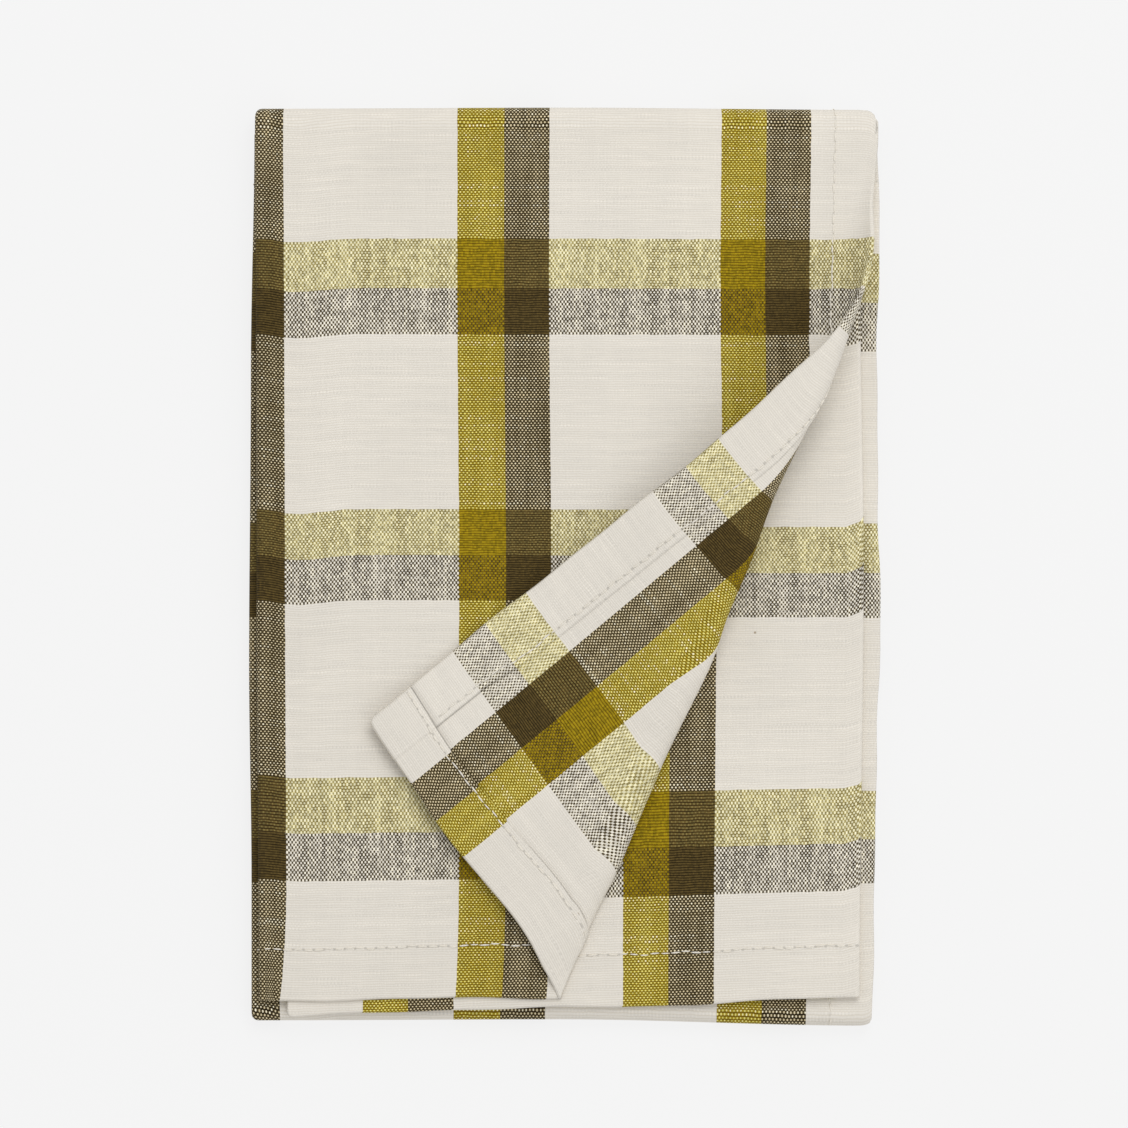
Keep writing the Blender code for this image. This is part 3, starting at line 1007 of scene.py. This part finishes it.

# %% [markdown]
# ## The woven cotton
#
# The warp and the weft each take their colours from their own count, and the weave picks which
# of the two is seen. An undyed thread that shows as a dot between dyed ones lies low in their
# shade and takes on their light, so it is painted in a darker, tinted colour. A few of these dots
# stand up and catch the light, as painted highlights, mostly along the thicker threads. The rest
# is what unbleached cotton shows from close by: threads that differ in tone, slubs, a few flecks
# of husk, and the painted shade in the gaps.

# %% The threads' colours and counts
NATURAL = (0.790, 0.750, 0.680, 1.0)
BROWN = (0.074, 0.050, 0.014, 1.0)
MUSTARD = (0.335, 0.240, 0.007, 1.0)
LIT_DOT = (0.980, 0.950, 0.780, 1.0)  # an undyed thread that catches the light
FLECK = (0.30, 0.22, 0.12, 1.0)
LOOKS = (  # what, in the warp, in the weft
    ("mustard", MUSTARD, (0.350, 0.288, 0.105, 1.0)),  # where it crosses undyed threads
    ("mustard on brown", MUSTARD, (0.215, 0.170, 0.055, 1.0)),
    # Painted shade and tinted light: an undyed thread between dyed ones is darker and takes their
    # colour.
    ("undyed on brown", (0.840, 0.800, 0.710, 1.0), (0.740, 0.635, 0.410, 1.0)),
    ("undyed on mustard", (0.850, 0.805, 0.560, 1.0), (0.830, 0.750, 0.220, 1.0)),
    ("lift on brown", 0.32, 0.32),  # how much lighter brown is where it crosses brown
    ("lift on mustard", 0.85, 0.32),
    ("glint", 0.3, 0.7),  # how many dots catch the light
    ("spread", 0.03, 0.12),  # how much the threads differ in tone
)
COUNTS = (  # input of the group, for the warp, for the weft
    ("Pitch", WARP_PITCH, WEFT_PITCH),
    ("Repeat", WARP_REPEAT, WEFT_REPEAT),
    ("Brown Threads", BROWN_ENDS, BROWN_PICKS),
    ("Mustard Threads", MUSTARD_ENDS, MUSTARD_PICKS),
    ("Seed", 3.0, 8.0),
    ("Slub Length", 0.022, 0.014),
)
WARP, WEFT = 1, 2


def column_of(table, column):
    return {row[0]: row[column] for row in table}


def thread_colour(threads, crossed, chance, look):
    """The colour of the warp or the weft, from what it is and what it crosses."""
    # Painted shade and tinted light on an undyed thread that lies between dyed ones.
    undyed = mixed(crossed["Brown"], NATURAL, look["undyed on brown"])
    undyed = mixed(crossed["Mustard"], undyed, look["undyed on mustard"])
    lit = soft_step(threads["Tone"] * 0.55 + chance * 0.45, 0.55, 1.0)
    lit = lit * ((crossed["Brown"] + crossed["Mustard"]) * look["glint"])
    colour = mixed(threads["Brown"], mixed(lit, undyed, LIT_DOT), BROWN)
    mustard = mixed(crossed["Brown"], look["mustard"], look["mustard on brown"])
    colour = mixed(threads["Mustard"], colour, mixed(crossed["Mustard"], mustard, MUSTARD))
    tone = (threads["Tone"] - 0.5) * (look["spread"] * 0.6)
    tone = tone + (threads["Slub"] - 0.5) * (look["spread"] * 3.0)
    lift = crossed["Brown"] * look["lift on brown"] + crossed["Mustard"] * look["lift on mustard"]
    return shaded(colour, threads["Brown"] * lift + tone + 1.0)


print(len(LOOKS), "looks and", len(COUNTS), "counts for each way")

# %% Material: woven cotton
COVER = 0.02
COLOURED_COVER = 0.38  # what a coloured warp covers on top of that
PALER_STRIPE = 0.13  # what a coloured warp covers less on the wrong side
PALER_BAND = 0.16  # what an undyed warp covers more there
STREAK = 0.34  # how much the cover changes from one bunch of warp threads to the next
BUNCHES_ACROSS, BUNCHES_ALONG = 240.0, 26.0  # per metre
DYED_CHANCE = 0.30  # how much one crossing differs from the next in tone
BOTH_DYED_CHANCE = 0.20  # and where both threads are dyed, on top of that
DRIFT, DRIFT_SCALE = 0.05, 24.0  # how much the tone drifts over the cloth, how often per metre
FLECK_SCALE, FLECK_CHOICE = 75.0, 0.72  # per metre, and the higher the choice, the fewer there are
FLECK_RIM, FLECK_SHARE = (0.034, 0.018), 0.75
# How strong the painted shade in the valleys between threads is, on undyed and on dyed cloth.
NATURAL_VALLEY_SHADE, DYED_VALLEY_SHADE = 0.50, 0.95
HOLE_SHADE, CREASE_SHADE = 0.26, 0.50
THREAD_RELIEF, SLUB_RELIEF, PUCKER_RELIEF = 0.00004, 0.00008, 0.00040


def uv_place(tree, name):
    place = add_node(tree, "ShaderNodeUVMap", uv_map=name)
    place = add_node(tree, "ShaderNodeSeparateXYZ", (place,))
    return place["X"], place["Y"]


def flecks(u, v):
    """A mask of a few small specks."""
    inputs = {"Vector": vector(u * FLECK_SCALE, v * FLECK_SCALE), "Scale": 1.0}
    cells = add_node(u.tree, "ShaderNodeTexVoronoi", inputs)
    chosen = add_node(u.tree, "ShaderNodeSeparateColor", (cells["Color"],))["Red"] > FLECK_CHOICE
    return soft_step(cells["Distance"], *FLECK_RIM) * chosen


def woven_cotton():
    material, tree, shader = new_material("woven cotton")
    u, v = uv_place(tree, "weave")
    flat_u, flat_v = uv_place(tree, "flat")
    wrong_side = add_node(tree, "ShaderNodeAttribute", attribute_name="wrong_side")["Fac"]
    # The crease attribute carries the painted shade in the gap along a loose hem's inner edge.
    crease = add_node(tree, "ShaderNodeAttribute", attribute_name="crease")["Fac"]
    warp = use_group(tree, THREADS, {"Place": u, "Along": v, **column_of(COUNTS, WARP)})
    weft = use_group(tree, THREADS, {"Place": v, "Along": u, **column_of(COUNTS, WEFT)})
    dyed_warp, dyed_weft = (threads["Brown"] + threads["Mustard"] for threads in (warp, weft))
    dyed = dyed_warp.math("MAXIMUM", dyed_weft)
    paler = dyed_weft * PALER_BAND - dyed_warp * PALER_STRIPE
    bunches = noise(vector(u * BUNCHES_ACROSS, v * BUNCHES_ALONG)) - 0.5
    cover = bunches * (STREAK * 2) + (wrong_side * paler + (dyed_warp * COLOURED_COVER + COVER))
    crossing = {"Warp Cover": cover}
    for key in CROSSING_KEYS:
        crossing[f"Warp {key}"], crossing[f"Weft {key}"] = warp[key], weft[key]
    weave = use_group(tree, WEAVE, crossing)
    sewing = use_group(tree, SEWING, {"U": flat_u, "V": flat_v, "Wrong Side": wrong_side})

    weft_colour = thread_colour(weft, warp, weave["Chance"], column_of(LOOKS, WEFT))
    warp_colour = thread_colour(warp, weft, weave["Chance"], column_of(LOOKS, WARP))
    colour = mixed(weave["Warp On Top"], weft_colour, warp_colour)
    chance = dyed * DYED_CHANCE + dyed_warp * dyed_weft * BOTH_DYED_CHANCE
    drift = noise(vector(flat_u * DRIFT_SCALE, flat_v * DRIFT_SCALE)) - 0.5
    tone = drift * (DRIFT * 2) + (weave["Chance"] - 0.5) * chance
    colour = mixed(flecks(flat_u, flat_v) * FLECK_SHARE, shaded(colour, tone + 1.0), FLECK)
    # Painted shade: the valleys between the threads are darkened, more where a thread is dyed.
    depth = weave["Valley"] * (dyed * (DYED_VALLEY_SHADE - NATURAL_VALLEY_SHADE) + NATURAL_VALLEY_SHADE)
    colour = mixed(depth, colour, shaded(colour, colour))
    # Painted shade: needle holes and the narrow gap along a loose hem's inner edge are darkened.
    painted_shade = (sewing["Hole"] * HOLE_SHADE).math("MAXIMUM", crease * CREASE_SHADE)
    relief = weave["Crown"] * THREAD_RELIEF + weft["Slub"] * SLUB_RELIEF
    relief = relief + sewing["Pucker"] * PUCKER_RELIEF
    bump = {"Distance": 1.0, "Strength": 0.8, "Height": relief}
    finish = {
        "Base Color": shaded(colour, 1 - painted_shade),
        "Roughness": warp["Tone"] * 0.1 + 0.86,
        "Specular IOR Level": 0.15,
        "Normal": add_node(tree, "ShaderNodeBump", bump),
    }
    plug(shader, finish)
    print(material.name, "has", len(tree.nodes), "nodes")
    return material


cloth.data.materials.append(woven_cotton())

# %% [markdown]
# ## The sewing thread
#
# It is undyed like the cloth but smoother and tighter, so it hardly shows on the plain parts and
# is a fine cream line on the stripes. It has its own fine variation along the stitches.

# %% Material: sewing thread
DULL_THREAD = (0.74, 0.69, 0.60, 1)
PALE_THREAD = (0.85, 0.81, 0.73, 1)
TWIST_DEPTH = 0.00005


def sewing_thread():
    material, tree, shader = new_material("sewing thread")
    place = add_node(tree, "ShaderNodeTexCoord")["Object"]
    twist, drift = noise(place, 2600.0), noise(place, 90.0, detail=1.0)
    colour = mixed(twist * 0.5 + drift * 0.5, DULL_THREAD, PALE_THREAD)
    bump = add_node(tree, "ShaderNodeBump", {"Distance": TWIST_DEPTH, "Height": twist})
    plug(shader, {"Base Color": colour, "Roughness": twist * 0.2 + 0.6, "Normal": bump})
    return material


THREAD = sewing_thread()
print(THREAD.name, "ready")

# %% [markdown]
# ## Stitches
#
# Each hem has one row of machine stitches, seen on both sides of the cloth. They are many and
# all alike, so Geometry Nodes places them: the rows are lines on the cloth with a point for each
# stitch, and the tree sets one small spindle on each point, turned along the row. It dips into
# the cloth at both ends, as a stitch does. Each point sits midway between two needle holes, and
# the row sways as a hand-guided seam does.

# %% The rows of stitches, as lines on the cloth
THREAD_RADIUS = 0.00025
STITCH_LENGTH = 0.0026
STITCH_SWAY = 0.00034
OVER_CLOTH, OVER_FLOOR = THREAD_RADIUS * 0.25, THREAD_RADIUS * 1.15


def stitch_rows():
    """The sewn rows on both sides of the cloth, as one mesh of lines."""
    verts, edges = [], []
    for across, seam, way, start, _ in SEAMS:
        end = SIZES[way] - start
        number = np.arange(math.ceil(start / STITCH_PITCH), math.floor(end / STITCH_PITCH))
        along = (number + 0.5) * STITCH_PITCH
        sway = STITCH_SWAY * (np.sin(number * 0.9) + np.sin(number * 2.3 + 1.0)) / 2
        for line in (seam + sway, SIZES[across] - seam + sway):
            u, v = (line, along) if across == "U" else (along, line)
            _, _, facing = slopes(u, v)
            for side in (1, -1):
                row = surface(u, v, side) + facing * side * OVER_CLOTH
                row[:, 2] = np.maximum(row[:, 2], OVER_FLOOR)
                edges += [(len(verts) + k, len(verts) + k + 1) for k in range(len(row) - 1)]
                verts += row.tolist()
    mesh = bpy.data.meshes.new("stitch rows")
    mesh.from_pydata(verts, edges, [])
    return add_object("stitch rows", mesh)


rows = stitch_rows()
print(len(rows.data.vertices), "points on the rows")


# %% Geometry Nodes: one spindle on each stitch
def stitch_tree():
    tree = bpy.data.node_groups.new("hem stitches", "GeometryNodeTree")
    for name, way in (("Rows", "INPUT"), ("Stitches", "OUTPUT")):
        tree.interface.new_socket(name, in_out=way, socket_type="NodeSocketGeometry")
    curve = add_node(tree, "GeometryNodeMeshToCurve", (add_node(tree, "NodeGroupInput"),))

    ball = add_node(tree, "GeometryNodeMeshUVSphere", {"Segments": 6, "Rings": 5, "Radius": 1.0})
    lying = add_node(tree, "GeometryNodeTransform", {"Geometry": ball, "Rotation": (0, math.pi / 2, 0)})
    spindle = add_node(tree, "GeometryNodeSetShadeSmooth", {"Geometry": lying})

    limits = {"Min": 0.85, "Max": 1.12, "Seed": 4}
    vary = add_node(tree, "FunctionNodeRandomValue", limits, data_type="FLOAT")["Value"]
    size = {0: (STITCH_LENGTH / 2, THREAD_RADIUS, THREAD_RADIUS), "Scale": vary}
    size = add_node(tree, "ShaderNodeVectorMath", size, operation="SCALE")

    ahead = {"Vector": add_node(tree, "GeometryNodeInputTangent")}
    turn = add_node(tree, "FunctionNodeAlignRotationToVector", ahead, axis="X")
    put = {"Points": curve, "Instance": spindle, "Rotation": turn, "Scale": size}
    put = add_node(tree, "GeometryNodeInstanceOnPoints", put)
    real = add_node(tree, "GeometryNodeRealizeInstances", {"Geometry": put})
    sewn = add_node(tree, "GeometryNodeSetMaterial", {"Geometry": real, "Material": THREAD})
    plug(tree.nodes.new("NodeGroupOutput"), {"Stitches": sewn})
    return tree


def grown(source, tree, name):
    """Runs a Geometry Nodes tree on an object and keeps the result as a plain mesh."""
    source.modifiers.new(tree.name, "NODES").node_group = tree
    seen = source.evaluated_get(bpy.context.evaluated_depsgraph_get())
    mesh = bpy.data.meshes.new_from_object(seen)
    mesh.name = name
    bpy.data.objects.remove(source)
    return add_object(name, mesh)


stitches = grown(rows, stitch_tree(), "hem_stitches")
for vert in stitches.data.vertices:
    vert.co.z = max(vert.co.z, 0.0)
print("the stitches have", sum(len(p.vertices) - 2 for p in stitches.data.polygons), "triangles")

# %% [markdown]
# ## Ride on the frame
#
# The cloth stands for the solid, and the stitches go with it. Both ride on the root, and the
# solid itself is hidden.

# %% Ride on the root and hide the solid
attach(cloth, "root")
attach(stitches, "root")
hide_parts("towel_cloth")
